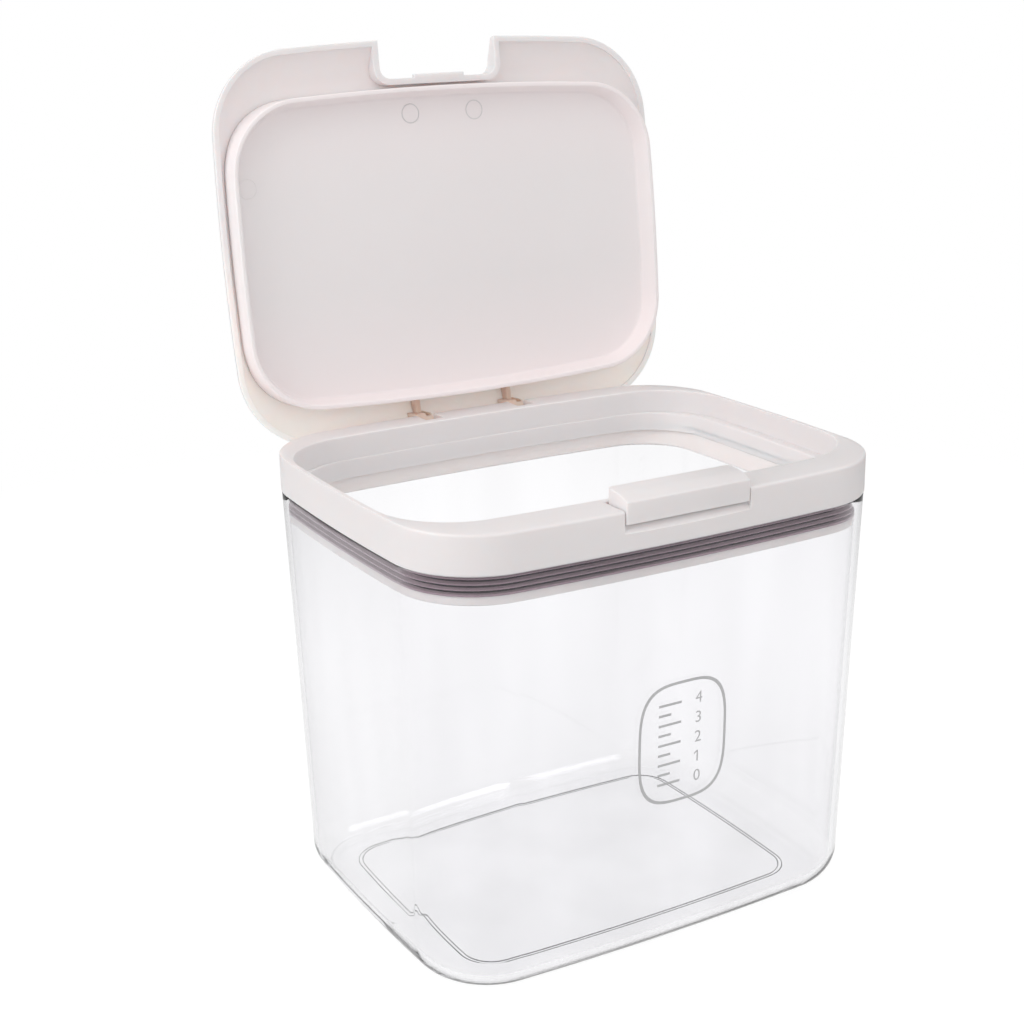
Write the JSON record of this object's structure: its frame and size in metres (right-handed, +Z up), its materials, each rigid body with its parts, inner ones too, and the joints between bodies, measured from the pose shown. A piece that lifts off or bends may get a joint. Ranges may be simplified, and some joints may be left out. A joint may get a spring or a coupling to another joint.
{
  "type": "pet food storage container",
  "caption": "Clear rounded tub with a plug-in sealed collar and a flip lid, hinged at the back and latched by a front push button.",
  "frame": {"origin": "centre of the tub's flat base, on the surface that it stands on", "axes": "+Z up, -Y to the front with the button, +X to the right seen from the front, lid hinged at +Y"},
  "size_m": [0.2048, 0.1902, 0.3342],
  "materials": {
    "clear_plastic": "clear, glossy",
    "white_plastic": "satin warm white",
    "ring_plastic": "satin pale grey-white",
    "seal_rubber": "matte dark mauve-grey",
    "steel": "bright"
  },
  "bodies": {
    "tub": {"tub": "clear_plastic"},
    "collar": {"collar_shell": "white_plastic", "retaining_ring": "ring_plastic", "ribbed_seal": "seal_rubber", "hinge_pin_left": "steel", "hinge_pin_right": "steel", "button_spring_left": "steel", "button_spring_right": "steel"},
    "lid": {"lid_shell": "white_plastic", "lid_plug": "white_plastic"},
    "button": {"push_button": "white_plastic"}
  },
  "joints": [
    {"name": "collar_lift", "type": "slide", "parent": "tub", "child": "collar", "axis": [0, 0, 1], "range_m": [0, 0.05]},
    {"name": "lid_hinge", "type": "hinge", "parent": "collar", "child": "lid", "pos_m": [0, 0.0785, 0.1758], "axis": [1, 0, 0], "range_deg": [0, 96.5]},
    {"name": "button_press", "type": "hinge", "parent": "collar", "child": "button", "pos_m": [0, -0.0736, 0.1782], "axis": [1, 0, 0], "range_deg": [0, 8], "stiffness_Nm_per_rad": 0.15, "springref_deg": -5.73, "deforming": ["button_spring_left", "button_spring_right"]}
  ]
}
